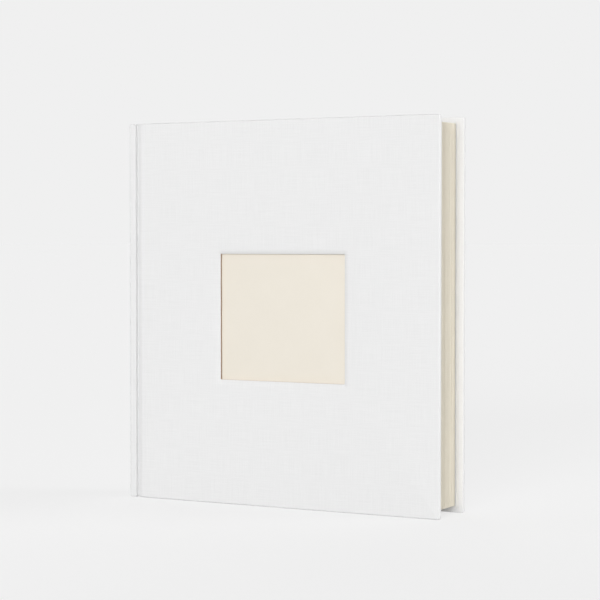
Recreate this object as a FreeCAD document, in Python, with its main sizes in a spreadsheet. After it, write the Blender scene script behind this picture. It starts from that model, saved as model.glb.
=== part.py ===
"""Case-bound scrapbook album with a cover window, standing upright.

+Z is up, the spine is at -X, the fore-edge at +X and the front cover faces -Y.
The origin is under the middle of the closed album, on the surface that it stands on.
All sizes are millimetres.
"""
import FreeCAD, Part
import os
import Sketcher

LEAF_COUNT = 28
FRONT = -1
BACK = 1
SIDE_NAMES = {FRONT: "front", BACK: "back"}

doc = FreeCAD.newDocument("scrapbook_album")

# The driving sizes. Each one is set here and nowhere else.
SIZES = [
    ("cover_width", 279.0, "spine's outer face to the covers' fore-edge"),
    ("cover_height", 305.0, "tail to head of the covers"),
    ("board", 2.9, "thickness of the cover boards"),
    ("spine_board", 2.7, "thickness of each of the two laminated spine boards"),
    ("cloth", 0.35, "thickness of the bookcloth"),
    ("paper", 0.2, "thickness of the pastedowns and joint linings"),
    ("turn_in", 15.0, "width of the cloth turned over the boards' edges"),
    ("paste_margin", 3.5, "cloth left showing round a pastedown"),
    ("swing_gap", 0.3, "spare width in a joint when its cover lies right back"),
    ("hinge_gap", 0.05, "clearance at each side of a joint strip"),
    ("fit_gap", 0.1, "clearance of a sheet laid between its neighbours"),
    ("head_square", 5.0, "cover beyond the leaves at the head"),
    ("tail_square", 5.5, "cover beyond the leaves at the tail"),
    ("fore_square", 6.3, "cover beyond the leaves at the fore-edge"),
    ("leaf", 0.7, "thickness of a card leaf"),
    ("flyleaf", 0.3, "thickness of a flyleaf"),
    ("spacer", 0.62, "thickness of a spacer strip between two leaves"),
    ("stub_width", 12.0, "bound edge of the first leaf, up to its score line"),
    ("score_step", 0.35, "each score line beyond the one in front, so that turned leaves stack"),
    ("back_filler", 0.3, "thickness of the strip behind the last flyleaf"),
    ("mull", 0.25, "thickness of the mull on the block's spine"),
    ("kraft", 0.3, "thickness of the kraft lining over the mull"),
    ("band_radius", 1.3, "radius of a head band's bead"),
    ("band_tape", 10.0, "height of the tape that a head band hangs from"),
    ("window_left", 86.3, "spine's outer face to the window"),
    ("window_bottom", 99.3, "tail of the cover to the window"),
    ("window_width", 111.7, "width of the cover's window"),
    ("window_height", 100.3, "height of the cover's window"),
    ("window_margin", 1.0, "pastedown cut back from the window"),
    ("insert", 0.4, "thickness of the photo insert"),
    ("insert_lap", 5.0, "insert beyond the window at the sides and the tail"),
    ("head_lap", 12.0, "insert beyond the window at the head"),
    ("insert_grip", 9.0, "insert standing out of the pocket, to pull it by"),
    ("insert_play", 0.1, "clearance on each face of the insert"),
    ("side_play", 0.3, "clearance at each side of the insert"),
    ("pocket_strip", 8.0, "width of the pocket's spacer strips"),
    ("pocket_card", 0.4, "thickness of the pocket's back"),
    ("pocket_air", 0.5, "clearance from the pocket to the flyleaf"),
]
sheet = doc.addObject("Spreadsheet::Sheet", "Dim")
for row, (alias, value, note) in enumerate(SIZES, start=1):
    sheet.set(f"A{row}", note)
    sheet.set(f"B{row}", str(value))
    sheet.setAlias(f"B{row}", alias)
doc.recompute()

# Thicknesses that add up from the driving sizes.
POCKET_GAP = "(Dim.insert + 2 * Dim.insert_play)"
POCKET_ROOM = f"({POCKET_GAP} + Dim.pocket_card + Dim.pocket_air)"
LEAF_PITCH = "(Dim.leaf + Dim.spacer)"
BLOCK_DEPTH = (
    f"({POCKET_ROOM} + 2 * Dim.flyleaf + {LEAF_COUNT} * {LEAF_PITCH} + Dim.spacer + Dim.back_filler)"
)
COVER_STACK = "(2 * Dim.cloth + Dim.board + Dim.paper)"
HALF_DEPTH = f"({BLOCK_DEPTH} / 2 + {COVER_STACK})"
JOINT_DROP = "(Dim.cloth + Dim.board)"

# Places along X, from the spine to the fore-edge.
SPINE_FACE = "(-Dim.cover_width / 2)"
FORE_EDGE = "(Dim.cover_width / 2)"
SPINE_BOARD_BACK = f"({SPINE_FACE} + Dim.cloth + 2 * Dim.spine_board)"
SHOULDER = f"({SPINE_BOARD_BACK} + Dim.cloth)"
JOINT_WIDTH = f"(2 * {JOINT_DROP} + Dim.swing_gap)"
JOINT_START = f"({SHOULDER} + Dim.hinge_gap)"
JOINT_SPAN = f"({JOINT_WIDTH} - 2 * Dim.hinge_gap)"
BOARD_EDGE = f"({SHOULDER} + {JOINT_WIDTH})"
COVER_SPAN = f"({FORE_EDGE} - {BOARD_EDGE})"
STUB_START = f"({SHOULDER} + Dim.kraft + Dim.mull)"
WINDOW_X = f"({SPINE_FACE} + Dim.window_left)"
INSERT_X = f"({WINDOW_X} - Dim.insert_lap)"
POCKET_X = f"({INSERT_X} - Dim.side_play - Dim.pocket_strip)"

# Places along Y, where the leaves' block runs from -BLOCK_DEPTH / 2 to +BLOCK_DEPTH / 2.
BLOCK_FRONT = f"(-{BLOCK_DEPTH} / 2)"
FRONT_FLYLEAF_Y = f"({BLOCK_FRONT} + {POCKET_ROOM})"
FIRST_LEAF_Y = f"({FRONT_FLYLEAF_Y} + Dim.flyleaf + Dim.spacer)"
BACK_FLYLEAF_Y = f"({FIRST_LEAF_Y} + {LEAF_COUNT} * {LEAF_PITCH})"
BACK_FILLER_Y = f"({BACK_FLYLEAF_Y} + Dim.flyleaf)"

# Places and heights along Z.
LEAF_HEIGHT = "(Dim.cover_height - Dim.head_square - Dim.tail_square)"
LEAF_TOP = "(Dim.cover_height - Dim.head_square)"
PASTE_HEIGHT = "(Dim.cover_height - 2 * Dim.paste_margin)"
TURN_EDGE = "(Dim.cloth + Dim.turn_in)"
TURN_CLEAR = f"(Dim.cover_height - 2 * {TURN_EDGE})"
INSERT_Z = "(Dim.window_bottom - Dim.insert_lap)"
INSERT_WIDTH = "(Dim.window_width + 2 * Dim.insert_lap)"
INSERT_HEIGHT = "(Dim.window_height + Dim.insert_lap + Dim.head_lap)"
POCKET_WIDTH = f"({INSERT_WIDTH} + 2 * Dim.side_play + 2 * Dim.pocket_strip)"
STRIP_HEIGHT = f"({INSERT_HEIGHT} - Dim.insert_grip)"
POCKET_HEIGHT = f"({STRIP_HEIGHT} + Dim.pocket_strip)"
POCKET_Z = f"({INSERT_Z} - Dim.pocket_strip)"

nodes = []


def bind(target, **expressions):
    """Tie properties of an object to the sheet; x, y and z are its place."""
    places = {"x": "Placement.Base.x", "y": "Placement.Base.y", "z": "Placement.Base.z"}
    for name, expression in expressions.items():
        target.setExpression(places.get(name, name), expression)


def keep(piece, label):
    """Name a finished sub-part and put it on the list that is exported."""
    piece.Label = label
    nodes.append(piece)
    return piece


def layer(side, depth_in, thickness):
    """Low Y of a layer whose outer face lies depth_in below a cover's outer face."""
    if side == FRONT:
        return f"(-{HALF_DEPTH} + {depth_in})"
    return f"({HALF_DEPTH} - {depth_in} - {thickness})"


def box(name, place, size):
    """A plain block with its low corner at place."""
    solid = doc.addObject("Part::Box", name)
    bind(solid, x=place[0], y=place[1], z=place[2])
    bind(solid, Length=size[0], Width=size[1], Height=size[2])
    return solid


def cut(base, *tools):
    """Cut each tool from the base in turn and give back the last result."""
    result = base
    for tool in tools:
        step = doc.addObject("Part::Cut", f"{tool.Name}_cut")
        step.Base = result
        step.Tool = tool
        result = step
    return result


def rectangle(sketch, corner, size):
    """A rectangle in a sketch, dimensioned from the origin by sheet expressions."""
    points = [FreeCAD.Vector(x, y, 0) for x, y in ((10, 10), (20, 10), (20, 20), (10, 20))]
    first = sketch.GeometryCount
    for index in range(4):
        sketch.addGeometry(Part.LineSegment(points[index], points[(index + 1) % 4]), False)
    for index in range(4):
        next_line = first + (index + 1) % 4
        sketch.addConstraint(Sketcher.Constraint("Coincident", first + index, 2, next_line, 1))
    for kind, index in (("Horizontal", 0), ("Vertical", 1), ("Horizontal", 2), ("Vertical", 3)):
        sketch.addConstraint(Sketcher.Constraint(kind, first + index))
    dimensions = [
        ("DistanceX", (first, 1, first, 2), size[0]),
        ("DistanceY", (first + 1, 1, first + 1, 2), size[1]),
        ("DistanceX", (-1, 1, first, 1), corner[0]),
        ("DistanceY", (-1, 1, first, 1), corner[1]),
    ]
    for kind, ends, expression in dimensions:
        number = sketch.addConstraint(Sketcher.Constraint(kind, *ends, 10.0))
        sketch.setExpression(f"Constraints[{number}]", expression)


def panel(label, place, size, window=None):
    """A flat sheet facing -Y, as a body with one sketch and one pad.

    size is width, thickness and height; window is the left, bottom, width and
    height of a hole, measured in the album's own frame.
    """
    body = doc.addObject("PartDesign::Body", label)
    sketch = body.newObject("Sketcher::SketchObject", f"{label}_outline")
    plane = next(item for item in body.Origin.OriginFeatures if item.Role == "XZ_Plane")
    sketch.AttachmentSupport = [(plane, "")]
    sketch.MapMode = "FlatFace"
    rectangle(sketch, ("0", "0"), (size[0], size[2]))
    if window:
        corner = (f"{window[0]} - {place[0]}", f"{window[1]} - {place[2]}")
        rectangle(sketch, corner, (window[2], window[3]))
    pad = body.newObject("PartDesign::Pad", f"{label}_pad")
    pad.Profile = sketch
    pad.Reversed = True
    pad.setExpression("Length", size[1])
    bind(body, x=place[0], y=place[1], z=place[2])
    return keep(body, label)


def group(label, solids):
    """Like pieces kept as one sub-part of separate solids."""
    compound = doc.addObject("Part::Compound", label)
    compound.Links = solids
    return keep(compound, label)


def window_hole(margin="0"):
    """The window's outline, made larger by a margin all round."""
    return (
        f"({WINDOW_X} - {margin})",
        f"(Dim.window_bottom - {margin})",
        f"(Dim.window_width + 2 * {margin})",
        f"(Dim.window_height + 2 * {margin})",
    )


# Cover boards, each wrapped in cloth that turns in over three edges. A card fills the
# board's inner face level with the turn-ins, and the pastedown covers both.
def cover(side):
    name = SIDE_NAMES[side]
    hole = window_hole() if side == FRONT else None
    lining_hole = window_hole("Dim.window_margin") if side == FRONT else None
    board_x = f"({BOARD_EDGE} + Dim.cloth)"
    board_size = (f"({COVER_SPAN} - 2 * Dim.cloth)", "Dim.board", "(Dim.cover_height - 2 * Dim.cloth)")
    board_y = layer(side, "Dim.cloth", "Dim.board")
    turn_y = layer(side, JOINT_DROP, "Dim.cloth")
    wrap_depth = f"({JOINT_DROP} + Dim.cloth)"
    panel(f"{name}_board", (board_x, board_y, "Dim.cloth"), board_size, hole)

    wrap = box(
        f"{name}_wrap",
        (BOARD_EDGE, layer(side, "0", wrap_depth), "0"),
        (COVER_SPAN, wrap_depth, "Dim.cover_height"),
    )
    board_space = box(f"{name}_board_space", (board_x, board_y, "Dim.cloth"), board_size)
    turned_space = box(
        f"{name}_turned_space",
        (BOARD_EDGE, turn_y, TURN_EDGE),
        (f"({COVER_SPAN} - {TURN_EDGE})", "Dim.cloth", TURN_CLEAR),
    )
    tools = [board_space, turned_space]
    if side == FRONT:
        left, bottom, width, height = hole
        place = (left, layer(side, "0", wrap_depth), bottom)
        tools.append(box(f"{name}_window_space", place, (width, wrap_depth, height)))
    keep(cut(wrap, *tools), f"{name}_cover_cloth")

    fill_x = f"({BOARD_EDGE} + Dim.fit_gap)"
    fill_span = f"({COVER_SPAN} - {TURN_EDGE} - 2 * Dim.fit_gap)"
    fill_height = f"({TURN_CLEAR} - 2 * Dim.fit_gap)"
    panel(
        f"{name}_fill_in",
        (fill_x, turn_y, f"({TURN_EDGE} + Dim.fit_gap)"),
        (fill_span, "Dim.cloth", fill_height),
        hole,
    )
    paper_y = layer(side, wrap_depth, "Dim.paper")
    panel(
        f"{name}_pastedown",
        (fill_x, paper_y, "Dim.paste_margin"),
        (f"({COVER_SPAN} - Dim.fit_gap - Dim.paste_margin)", "Dim.paper", PASTE_HEIGHT),
        lining_hole,
    )
    # The groove: a strip of the same cloth, lined with the endpaper's fold.
    strip_size = (JOINT_SPAN, "Dim.cloth", "Dim.cover_height")
    strip = box(f"{name}_joint_strip", (JOINT_START, turn_y, "0"), strip_size)
    keep(strip, f"{name}_joint_cloth")
    fold_size = (JOINT_SPAN, "Dim.paper", PASTE_HEIGHT)
    fold = box(f"{name}_endpaper_fold", (JOINT_START, paper_y, "Dim.paste_margin"), fold_size)
    keep(fold, f"{name}_joint_lining")


# Square spine: two boards glued together, under cloth that runs over both shoulders
# down to the grooves and turns in at the head and tail.
def spine():
    board_x = f"({SPINE_FACE} + Dim.cloth)"
    board_y = f"(-{HALF_DEPTH} + Dim.cloth)"
    board_width = f"(2 * {HALF_DEPTH} - 2 * Dim.cloth)"
    board_height = "(Dim.cover_height - 2 * Dim.cloth)"
    board_size = ("Dim.spine_board", board_width, board_height)
    outer = box("outer_spine_board", (board_x, board_y, "Dim.cloth"), board_size)
    keep(outer, "spine_board_outer")
    inner = box("inner_spine_board", (f"({board_x} + Dim.spine_board)", board_y, "Dim.cloth"), board_size)
    keep(inner, "spine_board_inner")

    wrap_size = (f"({SHOULDER} - {SPINE_FACE})", f"(2 * {HALF_DEPTH})", "Dim.cover_height")
    wrap = box("spine_wrap", (SPINE_FACE, f"(-{HALF_DEPTH})", "0"), wrap_size)
    both_boards = ("(2 * Dim.spine_board)", board_width, board_height)
    board_space = box("spine_board_space", (board_x, board_y, "Dim.cloth"), both_boards)
    turned_place = (SPINE_BOARD_BACK, f"(-{HALF_DEPTH} + {JOINT_DROP})", TURN_EDGE)
    turned_size = ("Dim.cloth", f"(2 * ({HALF_DEPTH} - {JOINT_DROP}))", TURN_CLEAR)
    turned_space = box("spine_turned_space", turned_place, turned_size)
    keep(cut(wrap, board_space, turned_space), "spine_cloth")


# The block's back: kraft over mull over the bound edges, with a woven band at each end.
def spine_linings():
    kraft_size = ("Dim.kraft", BLOCK_DEPTH, LEAF_HEIGHT)
    kraft = box("kraft_paper", (SHOULDER, BLOCK_FRONT, "Dim.tail_square"), kraft_size)
    keep(kraft, "spine_kraft_lining")
    mull_x = f"({SHOULDER} + Dim.kraft)"
    mull_place = (mull_x, BLOCK_FRONT, "(Dim.tail_square + Dim.band_tape)")
    mull_size = ("Dim.mull", BLOCK_DEPTH, f"({LEAF_HEIGHT} - 2 * Dim.band_tape)")
    keep(box("mull_cloth", mull_place, mull_size), "spine_mull")
    head_bead_z = f"({LEAF_TOP} + Dim.band_radius)"
    tail_bead_z = "(Dim.tail_square - Dim.band_radius)"
    ends = {
        "head_band": (f"({LEAF_TOP} - Dim.band_tape)", head_bead_z),
        "tail_band": (tail_bead_z, tail_bead_z),
    }
    tape_size = ("Dim.mull", BLOCK_DEPTH, "(Dim.band_tape + Dim.band_radius)")
    for name, (tape_z, bead_z) in ends.items():
        tape = box(f"{name}_tape", (mull_x, BLOCK_FRONT, tape_z), tape_size)
        bead = doc.addObject("Part::Cylinder", f"{name}_bead")
        along_y = FreeCAD.Rotation(FreeCAD.Vector(1, 0, 0), -90)
        bead.Placement = FreeCAD.Placement(FreeCAD.Vector(0, 0, 0), along_y)
        bind(bead, Radius="Dim.band_radius", Height=BLOCK_DEPTH)
        bind(bead, x=f"({mull_x} + Dim.band_radius)", y=BLOCK_FRONT, z=bead_z)
        band = doc.addObject("Part::Fuse", f"{name}_whole")
        band.Base = tape
        band.Tool = bead
        keep(band, name)


def block_sheets():
    """Name, low Y and thickness of every sheet in the block, from front to back."""
    sheets = [("front_flyleaf", FRONT_FLYLEAF_Y, "Dim.flyleaf")]
    for number in range(LEAF_COUNT):
        leaf_y = f"({FIRST_LEAF_Y} + {number} * {LEAF_PITCH})"
        sheets.append((f"leaf_{number + 1:02d}", leaf_y, "Dim.leaf"))
    sheets.append(("back_flyleaf", BACK_FLYLEAF_Y, "Dim.flyleaf"))
    return sheets


# Bound edges of the flyleaves and leaves, with a spacer strip in front of each one.
# Every score line is a step further from the spine than the one in front of it.
def bound_edges():
    def strip(name, place_y, thickness, number):
        width = f"(Dim.stub_width + {number} * Dim.score_step)"
        return box(name, (STUB_START, place_y, "Dim.tail_square"), (width, thickness, LEAF_HEIGHT))

    sheets = block_sheets()
    stubs = []
    spacers = [strip("front_filler", BLOCK_FRONT, POCKET_ROOM, 0)]
    for number, (name, place_y, thickness) in enumerate(sheets):
        stubs.append(strip(f"{name}_stub", place_y, thickness, number))
        if number:
            spacers.append(strip(f"{name}_spacer", f"({place_y} - Dim.spacer)", "Dim.spacer", number))
    spacers.append(strip("back_filler_strip", BACK_FILLER_Y, "Dim.back_filler", len(sheets) - 1))
    group("leaf_stubs", stubs)
    group("spacer_strips", spacers)


# Turning part of every sheet in the block, from its score line to the fore-edge.
def leaves():
    for number, (name, place_y, thickness) in enumerate(block_sheets()):
        start = f"({STUB_START} + Dim.stub_width + {number} * Dim.score_step + Dim.fit_gap)"
        span = f"({FORE_EDGE} - Dim.fore_square - {start})"
        panel(name, (start, place_y, "Dim.tail_square"), (span, thickness, LEAF_HEIGHT))


# Pocket behind the window: three strips and a back, open at the head, round a loose card.
def window_pocket():
    insert_y = f"({BLOCK_FRONT} + Dim.insert_play)"
    panel("photo_insert", (INSERT_X, insert_y, INSERT_Z), (INSERT_WIDTH, "Dim.insert", INSERT_HEIGHT))
    side_size = ("Dim.pocket_strip", POCKET_GAP, STRIP_HEIGHT)
    tail_size = (POCKET_WIDTH, POCKET_GAP, "Dim.pocket_strip")
    far_strip_x = f"({INSERT_X} + {INSERT_WIDTH} + Dim.side_play)"
    strips = [
        box("pocket_strip_spine", (POCKET_X, BLOCK_FRONT, INSERT_Z), side_size),
        box("pocket_strip_fore", (far_strip_x, BLOCK_FRONT, INSERT_Z), side_size),
        box("pocket_strip_tail", (POCKET_X, BLOCK_FRONT, POCKET_Z), tail_size),
    ]
    group("pocket_spacers", strips)
    back_y = f"({BLOCK_FRONT} + {POCKET_GAP})"
    panel("pocket_back", (POCKET_X, back_y, POCKET_Z), (POCKET_WIDTH, "Dim.pocket_card", POCKET_HEIGHT))


spine()
spine_linings()
bound_edges()
for cover_side in (FRONT, BACK):
    cover(cover_side)
window_pocket()
leaves()
doc.recompute()

for item in doc.Objects:
    if "Invalid" in item.State or "Error" in item.State:
        raise RuntimeError(f"{item.Label} failed: {item.State}")
for node in nodes:
    if node.Shape.isNull() or not node.Shape.isValid() or not node.Shape.Solids:
        raise RuntimeError(f"{node.Label} has no valid solid")

os.makedirs("parts", exist_ok=True)
for node in nodes:
    node.Shape.exportStep(f"parts/{node.Label}.step")
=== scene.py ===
# Case-bound scrapbook album in white bookcloth, with a window in its front cover.
# Metres, +Z up. The spine is at -X, the fore-edge at +X, and the front cover faces -Y.
import bmesh
import bpy
import math
from mathutils import Matrix, Vector


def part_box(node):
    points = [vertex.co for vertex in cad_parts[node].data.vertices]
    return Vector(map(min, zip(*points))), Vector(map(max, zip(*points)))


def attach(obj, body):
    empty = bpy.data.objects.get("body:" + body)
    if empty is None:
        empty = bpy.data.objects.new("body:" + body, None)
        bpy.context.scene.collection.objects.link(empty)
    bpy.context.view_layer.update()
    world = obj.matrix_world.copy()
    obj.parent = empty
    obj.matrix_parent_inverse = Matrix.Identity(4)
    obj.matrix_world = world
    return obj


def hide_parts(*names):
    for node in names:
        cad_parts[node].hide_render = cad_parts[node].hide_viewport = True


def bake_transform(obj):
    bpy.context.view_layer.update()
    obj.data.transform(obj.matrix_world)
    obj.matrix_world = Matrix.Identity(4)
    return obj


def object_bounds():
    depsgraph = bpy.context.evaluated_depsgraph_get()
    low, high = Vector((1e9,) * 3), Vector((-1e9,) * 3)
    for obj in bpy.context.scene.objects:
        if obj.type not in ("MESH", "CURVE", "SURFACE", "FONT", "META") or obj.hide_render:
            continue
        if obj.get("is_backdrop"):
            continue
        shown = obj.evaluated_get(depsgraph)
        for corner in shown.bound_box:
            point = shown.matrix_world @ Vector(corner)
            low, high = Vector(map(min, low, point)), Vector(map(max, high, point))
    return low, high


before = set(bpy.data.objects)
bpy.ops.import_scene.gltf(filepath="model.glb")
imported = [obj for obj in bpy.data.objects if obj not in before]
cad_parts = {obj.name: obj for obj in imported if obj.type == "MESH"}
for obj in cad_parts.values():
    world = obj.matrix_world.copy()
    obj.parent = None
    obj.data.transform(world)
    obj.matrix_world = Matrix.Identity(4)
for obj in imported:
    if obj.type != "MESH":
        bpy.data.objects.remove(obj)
cad_low, cad_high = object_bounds()
MM = 0.001

# Boards: tan greyboard, 2.9 mm in the covers and two layers of 2.7 mm in the spine.
# They are cut square, and the press eases their outer edges and the rim of the window.
CORNER_STEPS = 5
EDGE_EASE = 1.3 * MM
INNER_EASE = 0.5 * MM
COVER_CORNER = 1.6 * MM
WINDOW_CORNER = 0.7 * MM
RIM_WIDTH = 5.5 * MM
RIM_DROP = 1.6 * MM
RIM_CURVE = 2.4
MERGE_DISTANCE = 0.004 * MM
CLOTH = 0.35 * MM
BOARD_TAN = (0.560, 0.405, 0.300, 1)
BOARD_BROWN = (0.420, 0.275, 0.190, 1)


def rectangle(low, high, radius, depth):
    """A rectangle with rounded corners at one depth, as (across, up, depth) points."""
    radius = max(radius, 0.01 * MM)
    corners = [(low[0], low[1], 180), (high[0], low[1], 270), (high[0], high[1], 0), (low[0], high[1], 90)]
    points = []
    for across, up, first in corners:
        middle_across = across + radius if across == low[0] else across - radius
        middle_up = up + radius if up == low[1] else up - radius
        for step in range(CORNER_STEPS + 1):
            angle = math.radians(first + 90 * step / CORNER_STEPS)
            points.append(
                (middle_across + radius * math.cos(angle), middle_up + radius * math.sin(angle), depth)
            )
    return points


def inset(low, high, offset, radius, depth):
    """The same rectangle moved in by an offset, with its corners kept concentric."""
    inner_low = (low[0] + offset, low[1] + offset)
    inner_high = (high[0] - offset, high[1] - offset)
    return rectangle(inner_low, inner_high, radius - offset, depth)


def eased_edge(thickness, outer, inner, steps=5):
    """Offset and depth round an edge, from its inner face over to its outer face."""
    line = []
    for step in range(steps + 1):
        angle = math.radians(90 * step / steps)
        line.append((inner * (1 - math.sin(angle)), thickness - inner * (1 - math.cos(angle))))
    for step in range(steps + 1):
        angle = math.radians(90 * step / steps)
        line.append((outer * (1 - math.cos(angle)), outer * (1 - math.sin(angle))))
    return line


def rim_drop(distance):
    """How far the window's pressed rim lies below the face, at a distance from the cut."""
    return RIM_DROP * (1 - min(distance / RIM_WIDTH, 1)) ** RIM_CURVE


def pressed_rim(low, high, surface, steps=8):
    """Rectangles from the face down to the window's cut edge, at a depth below the cloth."""
    rims = []
    for step in range(steps + 1):
        distance = RIM_WIDTH * (1 - step / steps) ** 1.5
        depth = surface + rim_drop(distance)
        rims.append(inset(low, high, -distance, WINDOW_CORNER, depth))
    return rims


def skin(name, rings, place, close_round=False, cap_start=False, cap_end=False):
    """A mesh over rings of points, each joined to the next, put in place by a matrix."""
    shape = bmesh.new()
    made = [[shape.verts.new(place @ Vector(point)) for point in ring] for ring in rings]
    pairs = list(zip(made, made[1:]))
    if close_round:
        pairs.append((made[-1], made[0]))
    for first, second in pairs:
        for here in range(len(first)):
            after = (here + 1) % len(first)
            shape.faces.new((first[here], first[after], second[after], second[here]))
    if cap_start:
        shape.faces.new(list(reversed(made[0])))
    if cap_end:
        shape.faces.new(made[-1])
    bmesh.ops.remove_doubles(shape, verts=shape.verts, dist=MERGE_DISTANCE)
    if place.determinant() > 0:
        bmesh.ops.reverse_faces(shape, faces=shape.faces)
    mesh = bpy.data.meshes.new(name)
    shape.to_mesh(mesh)
    shape.free()
    return mesh


def finished(name, mesh, material, body, nodes, smooth=35):
    """A piece from its mesh: its material, soft shading, its body and the parts it stands for."""
    for polygon in mesh.polygons:
        polygon.use_smooth = True
    mesh.set_sharp_from_angle(angle=math.radians(smooth))
    mesh.materials.clear()
    mesh.materials.append(material)
    piece = bpy.data.objects.new(name, mesh)
    bpy.context.scene.collection.objects.link(piece)
    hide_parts(*nodes)
    if body:
        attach(piece, body)
    return piece


def slab(name, box, place, eases, corner, hole=None, hole_surface=0, hole_margin=0):
    """A closed board or card between two corners, with eased edges and perhaps the window."""
    (low, high), (top, bottom) = box
    rings = []
    for offset, depth in eased_edge(bottom - top, *eases):
        rings.append(inset(low, high, offset, corner, top + depth))
    if hole is None:
        return skin(name, rings, place, cap_start=True, cap_end=True)
    if hole_surface:
        rings += pressed_rim(*hole, hole_surface)
        rings.append(inset(*hole, 0, WINDOW_CORNER, bottom))
    else:
        rings.append(inset(*hole, -hole_margin, WINDOW_CORNER, top))
        rings.append(inset(*hole, -hole_margin, WINDOW_CORNER, bottom))
    return skin(name, rings, place, close_round=True)


def node_adder(tree):
    """A function that adds a node to a tree, with its settings, and fills or links its inputs."""

    def add(kind, settings=(), **inputs):
        node = tree.nodes.new(kind)
        for key, value in dict(settings).items():
            setattr(node, key, value)
        for key, value in inputs.items():
            socket = node.inputs[int(key[1:])] if key[1:].isdigit() else node.inputs[key.replace("_", " ")]
            if isinstance(value, bpy.types.NodeSocket):
                tree.links.new(value, socket)
            else:
                socket.default_value = value
        return node

    return add


def material_tree(name, roughness, sheen=0.0):
    """A new material, with functions that add a node and that set its colour and its relief."""
    material = bpy.data.materials.new(name)
    material.use_nodes = True
    add = node_adder(material.node_tree)
    shader = material.node_tree.nodes["Principled BSDF"]
    shader.inputs["Roughness"].default_value = roughness
    shader.inputs["Sheen Weight"].default_value = sheen
    shader.inputs["Specular IOR Level"].default_value = 0.25

    def finish(colour, height, distance, strength=1.0):
        bump = add("ShaderNodeBump", Height=height, Distance=distance, Strength=strength)
        material.node_tree.links.new(colour, shader.inputs["Base Color"])
        material.node_tree.links.new(bump.outputs["Normal"], shader.inputs["Normal"])

    return material, add, finish


def blended(add, factor, first, second):
    """A colour between two, by a factor."""
    mix = add("ShaderNodeMix", {"data_type": "RGBA"}, _0=factor, _6=first, _7=second)
    return mix.outputs[2]


greyboard, add, finish = material_tree("tan_greyboard", 0.9)
position = add("ShaderNodeTexCoord").outputs["Object"]
plies = add("ShaderNodeMapping", Vector=position, Scale=(120, 4200, 120))
layers = add("ShaderNodeTexNoise", Vector=plies.outputs[0], Scale=1.0, Detail=3.0)
fibres = add("ShaderNodeTexNoise", Vector=position, Scale=900.0, Detail=4.0, Roughness=0.7)
both = add("ShaderNodeMath", {"operation": "MULTIPLY"}, _0=layers.outputs[0], _1=fibres.outputs[0])
spread = add("ShaderNodeMapRange", Value=both.outputs[0], From_Min=0.12, From_Max=0.42)
finish(blended(add, spread.outputs[0], BOARD_BROWN, BOARD_TAN), fibres.outputs[0], 0.12 * MM)

half_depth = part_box("back_cover_cloth")[1].y
PLACES = {
    "front": Matrix(((1, 0, 0, 0), (0, 0, 1, -half_depth), (0, 1, 0, 0), (0, 0, 0, 1))),
    "back": Matrix(((1, 0, 0, 0), (0, 0, -1, half_depth), (0, 1, 0, 0), (0, 0, 0, 1))),
    "spine": Matrix(((0, 0, 1, cad_low.x), (1, 0, 0, 0), (0, 1, 0, 0), (0, 0, 0, 1))),
}


def laid_flat(node, side):
    """A node's box as its corners across and up, and its two depths under the case's face."""
    low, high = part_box(node)
    if side == "spine":
        return ((low.y, low.z), (high.y, high.z)), (low.x - cad_low.x, high.x - cad_low.x)
    depths = (abs(low.y), abs(high.y))
    return ((low.x, low.z), (high.x, high.z)), (half_depth - max(depths), half_depth - min(depths))


# The window's corners, from the front board's own points.
cuts = [sorted({round(point.co[axis], 6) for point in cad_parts["front_board"].data.vertices})
        for axis in (0, 2)]
window = ((cuts[0][1], cuts[1][1]), (cuts[0][2], cuts[1][2]))

for side in ("front", "back"):
    node = f"{side}_board"
    shape = slab(
        f"{side}_greyboard",
        laid_flat(node, side),
        PLACES[side],
        (EDGE_EASE - CLOTH, INNER_EASE),
        COVER_CORNER - CLOTH,
        hole=window if side == "front" else None,
        hole_surface=CLOTH,
    )
    finished(f"{side}_greyboard", shape, greyboard, f"{side}_cover", [node])

for layer, eases in (("outer", (0.7 * MM, 0.1 * MM)), ("inner", (0.1 * MM, 0.4 * MM))):
    node = f"spine_board_{layer}"
    shape = slab(f"spine_greyboard_{layer}", laid_flat(node, "spine"), PLACES["spine"], eases, 0.8 * MM)
    finished(f"spine_greyboard_{layer}", shape, greyboard, "spine", [node])

# Case cloth: one sheet of white linen bookcloth, glued over both covers and the spine.
# It is turned in 15 mm at head, tail and fore-edges, and trimmed flush at the window.
TURN_IN = 15.0 * MM
SPINE_EASE = 1.0 * MM
SHOULDER_EASE = 0.6 * MM
COVER_SEAM = -124.0 * MM
CLOTH_WHITE = (0.850, 0.850, 0.850, 1)
CLOTH_SHADE = (0.812, 0.812, 0.812, 1)
THREAD = 0.40 * MM

bookcloth, add, finish = material_tree("linen_bookcloth", 0.82, sheen=0.12)
thread_map = add("ShaderNodeUVMap", {"uv_map": "weave"}).outputs[0]
axes = add("ShaderNodeSeparateXYZ", Vector=thread_map)
waves = []
for axis in (0, 1):
    turn = add("ShaderNodeMath", {"operation": "MULTIPLY"}, _0=axes.outputs[axis], _1=math.pi / THREAD)
    waves.append(add("ShaderNodeMath", {"operation": "COSINE"}, _0=turn.outputs[0]).outputs[0])
weave = add("ShaderNodeMath", {"operation": "MULTIPLY"}, _0=waves[0], _1=waves[1])
slubs = []
for stretch in ((45, 1500, 1), (1500, 45, 1)):
    drawn = add("ShaderNodeMapping", Vector=thread_map, Scale=stretch)
    slubs.append(add("ShaderNodeTexNoise", Vector=drawn.outputs[0], Scale=1.0, Detail=2.0).outputs[0])
crossed = add("ShaderNodeMath", {"operation": "ADD"}, _0=slubs[0], _1=slubs[1])
uneven = add("ShaderNodeMapRange", Value=crossed.outputs[0], From_Min=0.72, From_Max=1.28)
relief = add("ShaderNodeMath", {"operation": "MULTIPLY_ADD"}, _0=weave.outputs[0], _1=0.5,
             _2=uneven.outputs[0])
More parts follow.
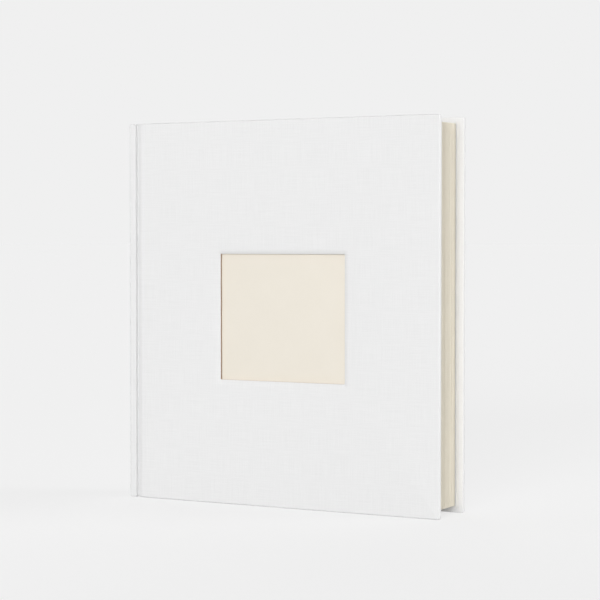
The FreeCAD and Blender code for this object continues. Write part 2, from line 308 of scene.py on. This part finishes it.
finish(blended(add, uneven.outputs[0], CLOTH_SHADE, CLOTH_WHITE), relief.outputs[0], 0.05 * MM, 0.6)


def lay_weave(mesh):
    """The weave's own map in metres, square to whichever way each face looks."""
    layer = mesh.uv_layers.new(name="weave")
    for polygon in mesh.polygons:
        normal = [abs(value) for value in polygon.normal]
        across, up = {0: (1, 2), 1: (0, 2), 2: (0, 1)}[normal.index(max(normal))]
        for corner in polygon.loop_indices:
            point = mesh.vertices[mesh.loops[corner].vertex_index].co
            layer.data[corner].uv = (point[across], point[up])


def thickened(mesh, thickness):
    """The sheet with its thickness laid on the inside."""
    host = bpy.data.objects.new("thickened", mesh)
    bpy.context.scene.collection.objects.link(host)
    wall = host.modifiers.new("wall", "SOLIDIFY")
    wall.thickness = thickness
    wall.offset = -1
    wall.use_even_offset = True
    ready = host.evaluated_get(bpy.context.evaluated_depsgraph_get())
    result = bpy.data.meshes.new_from_object(ready)
    result.name = mesh.name
    bpy.data.objects.remove(host)
    return result


def cut_at(mesh, seam):
    """Only the part of a mesh that lies beyond the seam, towards the fore-edge."""
    shape = bmesh.new()
    shape.from_mesh(mesh)
    everything = list(shape.verts) + list(shape.edges) + list(shape.faces)
    bmesh.ops.bisect_plane(
        shape, geom=everything, plane_co=(seam, 0, 0), plane_no=(1, 0, 0), clear_inner=True, dist=1e-7
    )
    shape.to_mesh(mesh)
    shape.free()


cover_thickness = laid_flat("front_board", "front")[1][1] + CLOTH
cover_section = eased_edge(cover_thickness, EDGE_EASE, INNER_EASE)
cover_cloths = {}
for side in ("front", "back"):
    (low, high), depths = laid_flat(f"{side}_cover_cloth", side)
    low = (COVER_SEAM - 40 * MM, low[1])
    rings = [inset(low, high, TURN_IN, 0, cover_thickness)]
    rings += [inset(low, high, offset, COVER_CORNER, depth) for offset, depth in cover_section]
    if side == "front":
        rings += pressed_rim(*window, 0)
    shape = skin(f"{side}_cover_bookcloth", rings, PLACES[side], cap_end=side == "back")
    cut_at(shape, COVER_SEAM)
    shape = thickened(shape, CLOTH)
    lay_weave(shape)
    cover_cloths[side] = finished(
        f"{side}_cover_bookcloth", shape, bookcloth, f"{side}_cover", [f"{side}_cover_cloth"]
    )

(low, high), (top, bottom) = laid_flat("spine_cloth", "spine")
opening_half = abs(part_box("front_joint_cloth")[0].y)
rings = [rectangle((-opening_half, TURN_IN), (opening_half, high[1] - TURN_IN), 0, bottom)]
for offset, depth in eased_edge(bottom, SPINE_EASE, SHOULDER_EASE):
    rings.append(inset(low, high, offset, SPINE_EASE, depth))
shape = thickened(skin("spine_bookcloth", rings, PLACES["spine"], cap_end=True), CLOTH)
lay_weave(shape)
spine_cover = finished("spine_bookcloth", shape, bookcloth, "spine", ["spine_cloth"])

# Joints: the same cloth between the spine and each cover, pressed into a groove.
# It drops steeply at the spine's shoulder and rises softly to the cover's face.
GROOVE_DEPTH = 3.2 * MM
GROOVE_CURVE = 1.9
GROOVE_FOOT = -133.4 * MM
GROOVE_CREASE = -133.3 * MM
GROOVE_BRINK = -126.6 * MM
SHOULDER_FOOT = -133.55 * MM
GROOVE_COLUMNS = 20
SHOULDER_COLUMNS = 4


def groove_depth(x):
    """How far the groove's cloth lies under the cover's face."""
    rise = min(max((x - GROOVE_FOOT) / (GROOVE_BRINK - GROOVE_FOOT), 0), 1)
    return GROOVE_DEPTH * (1 - rise) ** GROOVE_CURVE


def joint_column(x, height):
    """One section of the joint's cloth, round its tail and its head, as points."""
    surface = groove_depth(x)
    thickness = cover_thickness - surface
    outer = min(EDGE_EASE, thickness * 0.5)
    inner = min(INNER_EASE, thickness * 0.4)
    edge = eased_edge(thickness, outer, inner)
    tail = [(TURN_IN, cover_thickness)] + [(up, surface + depth) for up, depth in edge]
    head = [(height - up, depth) for up, depth in reversed(tail)]
    return [(x, up, depth) for up, depth in tail + head]


def joint_cloth(name, columns, side, height):
    """A strip of joint cloth over its columns, with the weave laid along its curve."""
    shape = bmesh.new()
    layer = shape.loops.layers.uv.new("weave")
    made, along, total = [], [], columns[-1]
    previous = None
    for x in reversed(columns):
        if previous is not None:
            total -= math.hypot(previous - x, groove_depth(previous) - groove_depth(x))
        previous = x
        along.insert(0, total)
    for x in columns:
        made.append([shape.verts.new(PLACES[side] @ Vector(point)) for point in joint_column(x, height)])
    for column in range(len(columns) - 1):
        for here in range(len(made[0]) - 1):
            corners = (
                (column, here), (column + 1, here), (column + 1, here + 1), (column, here + 1)
            )
            face = shape.faces.new([made[c][r] for c, r in corners])
            face.normal_update()
            for loop, (c, r) in zip(face.loops, corners):
                point = loop.vert.co
                loop[layer].uv = (along[c], point.y if abs(face.normal.z) > 0.7 else point.z)
    if side == "back":
        bmesh.ops.reverse_faces(shape, faces=shape.faces)
    mesh = bpy.data.meshes.new(name)
    shape.to_mesh(mesh)
    shape.free()
    return thickened(mesh, CLOTH)


height = cad_high.z
joint_halves = {"spine": [], "front": [], "back": []}
for side, way in (("front", -1), ("back", 1)):
    halves = (
        ("shoulder", (SHOULDER_FOOT, GROOVE_CREASE, SHOULDER_COLUMNS), "spine", f"{side}_joint"),
        ("cover", (GROOVE_CREASE, COVER_SEAM, GROOVE_COLUMNS), f"{side}_joint", f"{side}_cover"),
    )
    for half, (start, end, count), first_body, second_body in halves:
        columns = [start + (end - start) * step / count for step in range(count + 1)]
        name = f"{side}_joint_bookcloth_{half}"
        shape = joint_cloth(name, columns, side, height)
        cloth = finished(name, shape, bookcloth, None, [f"{side}_joint_cloth"])
        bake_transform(cloth)
        joint_halves["spine" if half == "shoulder" else side].append(cloth)

wrap = cover_thickness + TURN_IN
for side, cloth in cover_cloths.items():
    across, up = cad_high.x - COVER_SEAM + wrap, height + 2 * wrap

# Fill-ins: thin white card that levels the inside of each cover between the turn-ins.
# Each one is glued straight to the board, and the endpaper is pasted over it.
CARD_EASE = (0.08 * MM, 0.08 * MM)


def card_finish(name, pale, deep, grain, roughness=0.8):
    """A card or paper finish: soft cloudy fibre, and a fine tooth to its surface."""
    material, add, finish = material_tree(name, roughness)
    place = add("ShaderNodeTexCoord").outputs["Object"]
    clouds = add("ShaderNodeTexNoise", Vector=place, Scale=grain, Detail=5.0, Roughness=0.6)
    tooth = add("ShaderNodeTexNoise", Vector=place, Scale=2600.0, Detail=2.0)
    flecks = add("ShaderNodeMath", {"operation": "ADD"}, _0=clouds.outputs[0], _1=tooth.outputs[0])
    amount = add("ShaderNodeMapRange", Value=flecks.outputs[0], From_Min=0.75, From_Max=1.25)
    finish(blended(add, amount.outputs[0], deep, pale), tooth.outputs[0], 0.02 * MM, 0.5)
    return material


fill_card = card_finish("white_fill_card", (0.76, 0.75, 0.72, 1), (0.70, 0.69, 0.66, 1), 60)
for side in ("front", "back"):
    node = f"{side}_fill_in"
    hole = window if side == "front" else None
    shape = slab(f"{side}_fill_card", laid_flat(node, side), PLACES[side], CARD_EASE, 0.3 * MM, hole=hole)
    finished(f"{side}_fill_card", shape, fill_card, f"{side}_cover", [node])

# Leaves: 28 of cream card, 0.7 mm thick, scored near the gutter so that they turn.
# Each is trimmed a hair off its neighbours, and the card is never perfectly flat.
LEAF_CREAM = (0.890, 0.840, 0.725, 1)
LEAF_SHADE = (0.865, 0.810, 0.690, 1)
FOLD_BACK = 2.5 * MM
SCORE_GAP = 0.1 * MM
COCKLE = 0.35 * MM
TRIM = 0.35 * MM
SHEET_COLUMNS = 26
SHEET_ROWS = 9
CROWDING = 2.4
cream_card = card_finish("cream_leaf_card", LEAF_CREAM, LEAF_SHADE, 45)


def new_tree(name, inputs):
    """An empty geometry tree with these named inputs, and a function that adds its nodes."""
    tree = bpy.data.node_groups.new(name, "GeometryNodeTree")
    tree.interface.new_socket("Geometry", in_out="OUTPUT", socket_type="NodeSocketGeometry")
    for label, kind in inputs:
        tree.interface.new_socket(label, in_out="INPUT", socket_type=f"NodeSocket{kind}")
    given = tree.nodes.new("NodeGroupInput")
    add = node_adder(tree)

    def close(geometry):
        real = add("GeometryNodeRealizeInstances", Geometry=geometry)
        painted = add("GeometryNodeSetMaterial", Geometry=real.outputs[0], Material=given.outputs["Finish"])
        out = tree.nodes.new("NodeGroupOutput")
        tree.links.new(painted.outputs[0], out.inputs[0])

    return tree, given, add, close


def grown(tree, name, values):
    """The plain mesh that a geometry tree makes with these values for its named inputs."""
    host = bpy.data.objects.new(name, bpy.data.meshes.new(name))
    bpy.context.scene.collection.objects.link(host)
    modifier = host.modifiers.new("shape", "NODES")
    modifier.node_group = tree
    for item in tree.interface.items_tree:
        if item.in_out == "INPUT":
            modifier[item.identifier] = values[item.name]
    ready = host.evaluated_get(bpy.context.evaluated_depsgraph_get())
    mesh = bpy.data.meshes.new_from_object(ready)
    mesh.name = name
    host.modifiers.clear()
    bpy.data.objects.remove(host)
    return mesh


sheet_tree, given, add, close = new_tree("bound_sheet", [
    ("Start", "Vector"), ("Width", "Float"), ("Height", "Float"), ("Thickness", "Float"),
    ("Cockle", "Float"), ("Trim", "Float"), ("Seed", "Float"), ("Finish", "Material"),
])
size = add("ShaderNodeCombineXYZ", X=given.outputs["Width"], Y=given.outputs["Thickness"],
           Z=given.outputs["Height"])
blank = add("GeometryNodeMeshCube", Size=size.outputs[0])
blank.inputs["Vertices X"].default_value = SHEET_COLUMNS
blank.inputs["Vertices Z"].default_value = SHEET_ROWS
here = add("ShaderNodeSeparateXYZ", Vector=add("GeometryNodeInputPosition").outputs[0])
share = add("ShaderNodeMath", {"operation": "DIVIDE"}, _0=here.outputs[0], _1=given.outputs["Width"])
along = add("ShaderNodeMath", {"operation": "ADD", "use_clamp": True}, _0=share.outputs[0], _1=0.5)
gathered = add("ShaderNodeMath", {"operation": "POWER"}, _0=along.outputs[0], _1=CROWDING)
across = add("ShaderNodeMath", {"operation": "MULTIPLY"}, _0=gathered.outputs[0], _1=given.outputs["Width"])
spot = add("ShaderNodeCombineXYZ", X=gathered.outputs[0], Z=here.outputs[2])
broad = add("ShaderNodeTexNoise", {"noise_dimensions": "4D"}, Vector=spot.outputs[0],
            W=given.outputs["Seed"], Scale=3.0, Detail=1.0)
centred = add("ShaderNodeMath", {"operation": "SUBTRACT"}, _0=broad.outputs[0], _1=0.5)
swing = add("ShaderNodeMath", {"operation": "MULTIPLY"}, _0=centred.outputs[0], _1=given.outputs["Cockle"])
wave = add("ShaderNodeMath", {"operation": "MULTIPLY"}, _0=swing.outputs[0], _1=gathered.outputs[0])
ragged = add("ShaderNodeTexWhiteNoise", {"noise_dimensions": "1D"}, W=given.outputs["Seed"])
short = add("ShaderNodeMath", {"operation": "MULTIPLY"}, _0=ragged.outputs[0], _1=given.outputs["Trim"])
edge = add("ShaderNodeMath", {"operation": "MULTIPLY"}, _0=short.outputs[0], _1=gathered.outputs[0])
far = add("ShaderNodeMath", {"operation": "SUBTRACT"}, _0=across.outputs[0], _1=edge.outputs[0])
half_thick = add("ShaderNodeMath", {"operation": "MULTIPLY"}, _0=given.outputs["Thickness"], _1=0.5)
half_high = add("ShaderNodeMath", {"operation": "MULTIPLY"}, _0=given.outputs["Height"], _1=0.5)
deep = add("ShaderNodeMath", {"operation": "ADD"}, _0=here.outputs[1], _1=half_thick.outputs[0])
deeper = add("ShaderNodeMath", {"operation": "ADD"}, _0=deep.outputs[0], _1=wave.outputs[0])
upper = add("ShaderNodeMath", {"operation": "ADD"}, _0=here.outputs[2], _1=half_high.outputs[0])
local = add("ShaderNodeCombineXYZ", X=far.outputs[0], Y=deeper.outputs[0], Z=upper.outputs[0])
placed = add("ShaderNodeVectorMath", {"operation": "ADD"}, _0=local.outputs[0], _1=given.outputs["Start"])
moved = add("GeometryNodeSetPosition", Geometry=blank.outputs[0], Position=placed.outputs[0])
close(moved.outputs[0])


def bound_sheet(name, node, start_x, cockle, trim, seed, material):
    """A turning sheet of the block, from inside the gutter to its fore-edge."""
    low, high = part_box(node)
    values = {
        "Start": (start_x, low.y, low.z), "Width": high.x - start_x, "Height": high.z - low.z,
        "Thickness": high.y - low.y, "Cockle": cockle, "Trim": trim, "Seed": seed, "Finish": material,
    }
    mesh = grown(sheet_tree, name, values)
    sheet = finished(name, mesh, material, None, [node], smooth=60)
    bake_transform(sheet)
    return sheet


leaf_nodes = sorted(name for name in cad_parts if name.startswith("leaf_") and name != "leaf_stubs")
for number, node in enumerate(leaf_nodes):
    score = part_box(node)[0].x - SCORE_GAP
    bound_sheet(f"card_{node}", node, score - FOLD_BACK, COCKLE, TRIM, 3.1 * number + 1,
                cream_card)

# Bound edges: the leaves' stubs behind their score lines, with a strip of card glued
# between each two, so that mounted pictures have room and the block stays square.
leaf_low, leaf_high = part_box(leaf_nodes[0])
next_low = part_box(leaf_nodes[1])[0]
stub_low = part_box("leaf_stubs")[0]
leaf_pitch = next_low.y - leaf_low.y
score_step = next_low.x - leaf_low.x
leaf_thickness = leaf_high.y - leaf_low.y
first_stub = leaf_low.x - SCORE_GAP - stub_low.x

strip_tree, given, add, close = new_tree("bound_strips", [
    ("Start", "Vector"), ("Count", "Int"), ("Pitch", "Float"), ("First Width", "Float"),
    ("Width Step", "Float"), ("Height", "Float"), ("Thickness", "Float"), ("Finish", "Material"),
])
pitch = add("ShaderNodeCombineXYZ", Y=given.outputs["Pitch"])
row = add("GeometryNodeMeshLine", Count=given.outputs["Count"], Start_Location=given.outputs["Start"],
          Offset=pitch.outputs[0])
strip = add("GeometryNodeMeshCube")
cornered = add("GeometryNodeTransform", Geometry=strip.outputs[0], Translation=(0.5, 0.5, 0.5))
order = add("GeometryNodeInputIndex")
longer = add("ShaderNodeMath", {"operation": "MULTIPLY_ADD"}, _0=order.outputs[0],
             _1=given.outputs["Width Step"], _2=given.outputs["First Width"])
snipped = add("FunctionNodeRandomValue", {"data_type": "FLOAT"}, Seed=7)
snipped.inputs[2].default_value, snipped.inputs[3].default_value = -0.25 * MM, 0.0
width = add("ShaderNodeMath", {"operation": "ADD"}, _0=longer.outputs[0], _1=snipped.outputs[1])
size = add("ShaderNodeCombineXYZ", X=width.outputs[0], Y=given.outputs["Thickness"],
           Z=given.outputs["Height"])
rows = add("GeometryNodeInstanceOnPoints", Points=row.outputs[0], Instance=cornered.outputs[0],
           Scale=size.outputs[0])
close(rows.outputs[0])

leaf_height = leaf_high.z - leaf_low.z
stubs = grown(strip_tree, "stub_edges", {
    "Start": (stub_low.x, leaf_low.y, leaf_low.z), "Count": len(leaf_nodes), "Pitch": leaf_pitch,
    "First Width": first_stub - FOLD_BACK, "Width Step": score_step, "Height": leaf_height,
    "Thickness": leaf_thickness, "Finish": cream_card,
})
finished("stub_edges", stubs, cream_card, "spine", ["leaf_stubs"])

spacer_low, spacer_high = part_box("spacer_strips")
fly_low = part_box("front_flyleaf")[0]
gap = leaf_pitch - leaf_thickness
spacers = grown(strip_tree, "gutter_strips", {
    "Start": (spacer_low.x, leaf_low.y - gap, leaf_low.z), "Count": len(leaf_nodes) + 1,
    "Pitch": leaf_pitch, "First Width": first_stub, "Width Step": score_step, "Height": leaf_height,
    "Thickness": gap, "Finish": cream_card,
})
back_fly_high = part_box("back_flyleaf")[1]
joined = bmesh.new()
joined.from_mesh(spacers)
for low_y, high_y, end in (
    (spacer_low.y, fly_low.y, first_stub - score_step),
    (back_fly_high.y, spacer_high.y, spacer_high.x - spacer_low.x),
):
    filler = bmesh.ops.create_cube(joined, size=1.0)
    filler_size = Vector((end, high_y - low_y, leaf_height))
    filler_middle = Vector((spacer_low.x + end / 2, (low_y + high_y) / 2, leaf_low.z + leaf_height / 2))
    bmesh.ops.scale(joined, vec=filler_size, verts=filler["verts"])
    bmesh.ops.translate(joined, vec=filler_middle, verts=filler["verts"])
joined.to_mesh(spacers)
joined.free()
finished("gutter_strips", spacers, cream_card, "spine", ["spacer_strips"])

# Spine linings: open cotton mull over the block's glued edge, with kraft paper over it.
# A striped band is glued at the head and the tail, its bead standing on the leaves' ends.
BAND_WHITE = (0.80, 0.79, 0.76, 1)
BAND_CREAM = (0.62, 0.50, 0.33, 1)
BAND_STRIPE = 2.4 * MM
BAND_THREAD = 0.20 * MM
BAND_LEAN = 0.14
MULL_PITCH = 1.3 * MM

kraft_finish = card_finish("brown_kraft_paper", (0.40, 0.27, 0.16, 1), (0.32, 0.205, 0.115, 1), 90, 0.7)
shape = slab("kraft_lining", laid_flat("spine_kraft_lining", "spine"), PLACES["spine"], CARD_EASE, 0.2 * MM)
finished("kraft_lining", shape, kraft_finish, "spine", ["spine_kraft_lining"])

mull_cotton = card_finish("open_mull_cotton", (0.74, 0.70, 0.62, 1), (0.64, 0.60, 0.52, 1), 400, 0.9)
mull_low, mull_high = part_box("spine_mull")
mull_thread = (mull_high.x - mull_low.x) / 4
gauze_tree, given, add, close = new_tree("open_gauze", [
    ("Low", "Vector"), ("Across", "Float"), ("Up", "Float"), ("Across Count", "Int"),
    ("Up Count", "Int"), ("Thread", "Float"), ("Finish", "Material"),
])
step_across = add("ShaderNodeMath", {"operation": "DIVIDE"}, _0=given.outputs["Across"],
                  _1=given.outputs["Across Count"])
step_up = add("ShaderNodeMath", {"operation": "DIVIDE"}, _0=given.outputs["Up"],
              _1=given.outputs["Up Count"])
warp_row = add("GeometryNodeMeshLine", Count=given.outputs["Across Count"],
               Offset=add("ShaderNodeCombineXYZ", Y=step_across.outputs[0]).outputs[0])
weft_row = add("GeometryNodeMeshLine", Count=given.outputs["Up Count"],
               Offset=add("ShaderNodeCombineXYZ", Z=step_up.outputs[0]).outputs[0])
warp = add("GeometryNodeMeshCylinder", Vertices=6, Radius=given.outputs["Thread"],
           Depth=given.outputs["Up"])
weft = add("GeometryNodeMeshCylinder", Vertices=6, Radius=given.outputs["Thread"],
           Depth=given.outputs["Across"])
half_up = add("ShaderNodeMath", {"operation": "MULTIPLY"}, _0=given.outputs["Up"], _1=0.5)
half_across = add("ShaderNodeMath", {"operation": "MULTIPLY"}, _0=given.outputs["Across"], _1=0.5)
stood = add("GeometryNodeTransform", Geometry=warp.outputs[0],
            Translation=add("ShaderNodeCombineXYZ", Z=half_up.outputs[0]).outputs[0])
laid = add("GeometryNodeTransform", Geometry=weft.outputs[0], Rotation=(math.pi / 2, 0, 0),
           Translation=add("ShaderNodeCombineXYZ", Y=half_across.outputs[0]).outputs[0])
warps = add("GeometryNodeInstanceOnPoints", Points=warp_row.outputs[0], Instance=stood.outputs[0])
wefts = add("GeometryNodeInstanceOnPoints", Points=weft_row.outputs[0], Instance=laid.outputs[0])
net = add("GeometryNodeJoinGeometry")
for part in (warps, wefts):
    gauze_tree.links.new(part.outputs[0], net.inputs[0])
lifted = add("GeometryNodeTransform", Geometry=net.outputs[0], Translation=given.outputs["Low"])
close(lifted.outputs[0])
gauze = grown(gauze_tree, "mull_gauze", {
    "Low": ((mull_low.x + mull_high.x) / 2, mull_low.y + mull_thread, mull_low.z + mull_thread),
    "Across": mull_high.y - mull_low.y - 2 * mull_thread, "Up": mull_high.z - mull_low.z - 2 * mull_thread,
    "Across Count": round((mull_high.y - mull_low.y) / MULL_PITCH),
    "Up Count": round((mull_high.z - mull_low.z) / MULL_PITCH), "Thread": mull_thread * 1.6,
    "Finish": mull_cotton,
})
finished("mull_gauze", gauze, mull_cotton, "spine", ["spine_mull"])

band_silk, add, finish = material_tree("striped_band_cotton", 0.55, sheen=0.2)
place = add("ShaderNodeTexCoord").outputs["Object"]
along_band = add("ShaderNodeSeparateXYZ", Vector=place)
turns = add("ShaderNodeMath", {"operation": "DIVIDE"}, _0=along_band.outputs[1], _1=BAND_STRIPE)
which = add("ShaderNodeMath", {"operation": "WRAP"}, _0=turns.outputs[0], _1=1.0, _2=-1.0)
stripe = add("ShaderNodeMath", {"operation": "GREATER_THAN"}, _0=which.outputs[0], _1=0.0)
strands = add("ShaderNodeTexNoise", Vector=place, Scale=5000.0, Detail=2.0)
finish(blended(add, stripe.outputs[0], BAND_CREAM, BAND_WHITE), strands.outputs[0], 0.03 * MM)

band_tree, given, add, close = new_tree("wrapped_band", [
    ("Start", "Vector"), ("Length", "Float"), ("Count", "Int"), ("Radius", "Float"), ("Thread", "Float"),
    ("Finish", "Material"),
])
step = add("ShaderNodeMath", {"operation": "DIVIDE"}, _0=given.outputs["Length"], _1=given.outputs["Count"])
wraps = add("GeometryNodeMeshLine", Count=given.outputs["Count"], Start_Location=given.outputs["Start"],
            Offset=add("ShaderNodeCombineXYZ", Y=step.outputs[0]).outputs[0])
loop = add("GeometryNodeCurvePrimitiveCircle", Resolution=14, Radius=given.outputs["Radius"])
strand = add("GeometryNodeCurvePrimitiveCircle", Resolution=4, Radius=given.outputs["Thread"])
ring = add("GeometryNodeCurveToMesh", Curve=loop.outputs[0], Profile_Curve=strand.outputs[0])
wrapped = add("GeometryNodeInstanceOnPoints", Points=wraps.outputs[0], Instance=ring.outputs[0],
              Rotation=(math.pi / 2 + BAND_LEAN, 0, 0))
close(wrapped.outputs[0])

for end in ("head", "tail"):
    low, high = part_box(f"{end}_band")
    across = (high.x - low.x) / 2
    tape_x = mull_high.x - low.x
    radius = (high.x - low.x - tape_x / 2) / 2
    bead_z = high.z - radius if end == "head" else low.z + radius
    bead_x = high.x - radius
    count = round((high.y - low.y) / (2 * BAND_THREAD))
    mesh = grown(band_tree, f"{end}_band_wraps", {
        "Start": (bead_x, low.y + BAND_THREAD, bead_z), "Length": high.y - low.y - 2 * BAND_THREAD,
        "Count": count, "Radius": radius - BAND_THREAD, "Thread": BAND_THREAD, "Finish": band_silk,
    })
    joined = bmesh.new()
    joined.from_mesh(mesh)
    tape = bmesh.ops.create_cube(joined, size=1.0)
    tape_top, tape_foot = (bead_z, low.z) if end == "head" else (high.z, bead_z)
    tape_size = Vector((mull_high.x - mull_low.x, high.y - low.y, tape_top - tape_foot))
    middle = Vector(((mull_low.x + mull_high.x) / 2, 0, (tape_top + tape_foot) / 2))
    bmesh.ops.scale(joined, vec=tape_size, verts=tape["verts"])
    bmesh.ops.translate(joined, vec=middle, verts=tape["verts"])
    joined.to_mesh(mesh)
    joined.free()
    finished(f"{end}_band_wraps", mesh, band_silk, "spine", [f"{end}_band"])

# Endpapers: strong white paper. One half is pasted down inside each cover and runs
# across the joint, and the other is the flyleaf, free beside the block.
PAPER_WHITE = (0.835, 0.830, 0.815, 1)
PAPER_SHADE = (0.800, 0.795, 0.780, 1)
endpaper = card_finish("white_endpaper", PAPER_WHITE, PAPER_SHADE, 55, 0.75)
window_margin = 1.0 * MM

for side in ("front", "back"):
    node = f"{side}_pastedown"
    shape = slab(
        f"{side}_pasted_endpaper",
        laid_flat(node, side),
        PLACES[side],
        CARD_EASE,
        0.4 * MM,
        hole=window if side == "front" else None,
        hole_margin=window_margin,
    )
    finished(f"{side}_pasted_endpaper", shape, endpaper, f"{side}_cover", [node])

    low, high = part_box(f"{side}_joint_lining")
    middle_x = (low.x + high.x) / 2
    paste_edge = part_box(node)[0].x
    for half, start, end, first_body, second_body in (
        ("shoulder", low.x, middle_x, "spine", f"{side}_joint"),
        ("cover", middle_x, paste_edge, f"{side}_joint", f"{side}_cover"),
    ):
        name = f"{side}_folded_endpaper_{half}"
        values = {
            "Start": (start, low.y, low.z), "Width": end - start, "Height": high.z - low.z,
            "Thickness": high.y - low.y, "Cockle": 0.0, "Trim": 0.0, "Seed": 0.0, "Finish": endpaper,
        }
        fold = finished(name, grown(sheet_tree, name, values), endpaper, None,
                        [f"{side}_joint_lining"], smooth=60)
        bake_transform(fold)

    bound_sheet(f"{side}_free_endpaper", f"{side}_flyleaf", stub_low.x, 0.25 * MM,
                0.2 * MM, 50.0 if side == "front" else 60.0, endpaper)

# Window pocket: three card strips and a card back glued inside the front cover.
# It is open at the head, and a loose cream card slides in to show through the window.
pocket_finish = card_finish("white_pocket_card", (0.80, 0.78, 0.72, 1), (0.76, 0.74, 0.67, 1), 50)
insert_finish = card_finish("cream_insert_card", (0.846, 0.797, 0.706, 1), (0.826, 0.777, 0.684, 1), 40)
strips_low, strips_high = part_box("pocket_spacers")
insert_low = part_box("photo_insert")[0]
depth_range = laid_flat("pocket_spacers", "front")[1]
strip_width = insert_low.z - strips_low.z
joined = bmesh.new()
for low_corner, high_corner in (
    ((strips_low.x, insert_low.z), (strips_low.x + strip_width, strips_high.z)),
    ((strips_high.x - strip_width, insert_low.z), (strips_high.x, strips_high.z)),
    ((strips_low.x, strips_low.z), (strips_high.x, insert_low.z)),
):
    strip = slab("strip", ((low_corner, high_corner), depth_range), PLACES["front"], CARD_EASE, 0.3 * MM)
    joined.from_mesh(strip)
    bpy.data.meshes.remove(strip)
strips = bpy.data.meshes.new("pocket_edge_strips")
joined.to_mesh(strips)
joined.free()
finished("pocket_edge_strips", strips, pocket_finish, "front_cover", ["pocket_spacers"])
shape = slab("pocket_back_card", laid_flat("pocket_back", "front"), PLACES["front"], CARD_EASE, 2.5 * MM)
finished("pocket_back_card", shape, pocket_finish, "front_cover", ["pocket_back"])
shape = slab("window_card", laid_flat("photo_insert", "front"), PLACES["front"], CARD_EASE, 1.5 * MM)
finished("window_card", shape, insert_finish, "insert", ["photo_insert"])

# Studio: a plain pale floor that runs off to a pale sky of the same brightness. It is lit by
# a low key light, a side light for the fore-edge, and weaker ones from above and from behind.
FLOOR_PALE = (0.25, 0.25, 0.25, 1)
FLOOR_GLOW = 0.706
PALE = 0.871
SKY_FILL = 0.30
FLOOR_REACH = 60.0
VIEW_FROM = (0.7524, -1.3445, 0.2119)
VIEW_TILT = 1.82
VIEW_TURN = 29.012
scene = bpy.context.scene
scene.view_settings.view_transform = "Standard"
world = bpy.data.worlds.new("pale_sky")
scene.world = world
world.use_nodes = True
sky = world.node_tree.nodes["Background"]
seen = world.node_tree.nodes.new("ShaderNodeLightPath")
tone = world.node_tree.nodes.new("ShaderNodeMix")
tone.data_type = "RGBA"
tone.inputs[6].default_value = (SKY_FILL, SKY_FILL, SKY_FILL, 1)
tone.inputs[7].default_value = (PALE, PALE, PALE, 1)
world.node_tree.links.new(seen.outputs["Is Camera Ray"], tone.inputs[0])
world.node_tree.links.new(tone.outputs[2], sky.inputs["Color"])

floor_finish = bpy.data.materials.new("pale_floor")
floor_finish.use_nodes = True
floor_shader = floor_finish.node_tree.nodes["Principled BSDF"]
floor_shader.inputs["Base Color"].default_value = FLOOR_PALE
floor_shader.inputs["Roughness"].default_value = 1.0
floor_shader.inputs["Specular IOR Level"].default_value = 0.0
floor_shader.inputs["Emission Color"].default_value = (1, 1, 1, 1)
floor_shader.inputs["Emission Strength"].default_value = FLOOR_GLOW
floor_mesh = bpy.data.meshes.new("floor")
floor_corners = [(x * FLOOR_REACH, y * FLOOR_REACH, 0) for x, y in ((-1, -1), (1, -1), (1, 1), (-1, 1))]
floor_mesh.from_pydata(floor_corners, [], [(0, 1, 2, 3)])
floor_mesh.materials.append(floor_finish)
floor = bpy.data.objects.new("floor", floor_mesh)
scene.collection.objects.link(floor)
floor.visible_diffuse = False
floor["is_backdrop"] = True


def soft_sun(name, azimuth, elevation, strength, spread):
    """A broad soft light from far off, at an azimuth from the front and a height above the floor."""
    light = bpy.data.lights.new(name, "SUN")
    light.energy = strength
    light.angle = math.radians(spread)
    lamp = bpy.data.objects.new(name, light)
    lamp.rotation_euler = (math.radians(90 - elevation), 0, math.radians(azimuth))
    scene.collection.objects.link(lamp)


soft_sun("key_light", azimuth=12, elevation=6, strength=3.02, spread=30)
soft_sun("side_light", azimuth=116, elevation=12, strength=1.75, spread=25)
soft_sun("top_light", azimuth=0, elevation=75, strength=0.1, spread=60)
soft_sun("back_light", azimuth=215, elevation=10, strength=1.45, spread=60)

camera = bpy.data.cameras.new("camera")
camera.lens = 116.38
camera.sensor_width = 36.0
camera.clip_end = 200.0
viewer = bpy.data.objects.new("camera", camera)
viewer.location = VIEW_FROM
viewer.rotation_euler = (math.radians(90 - VIEW_TILT), 0, math.radians(VIEW_TURN))
scene.collection.objects.link(viewer)
scene.camera = viewer

low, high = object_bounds()
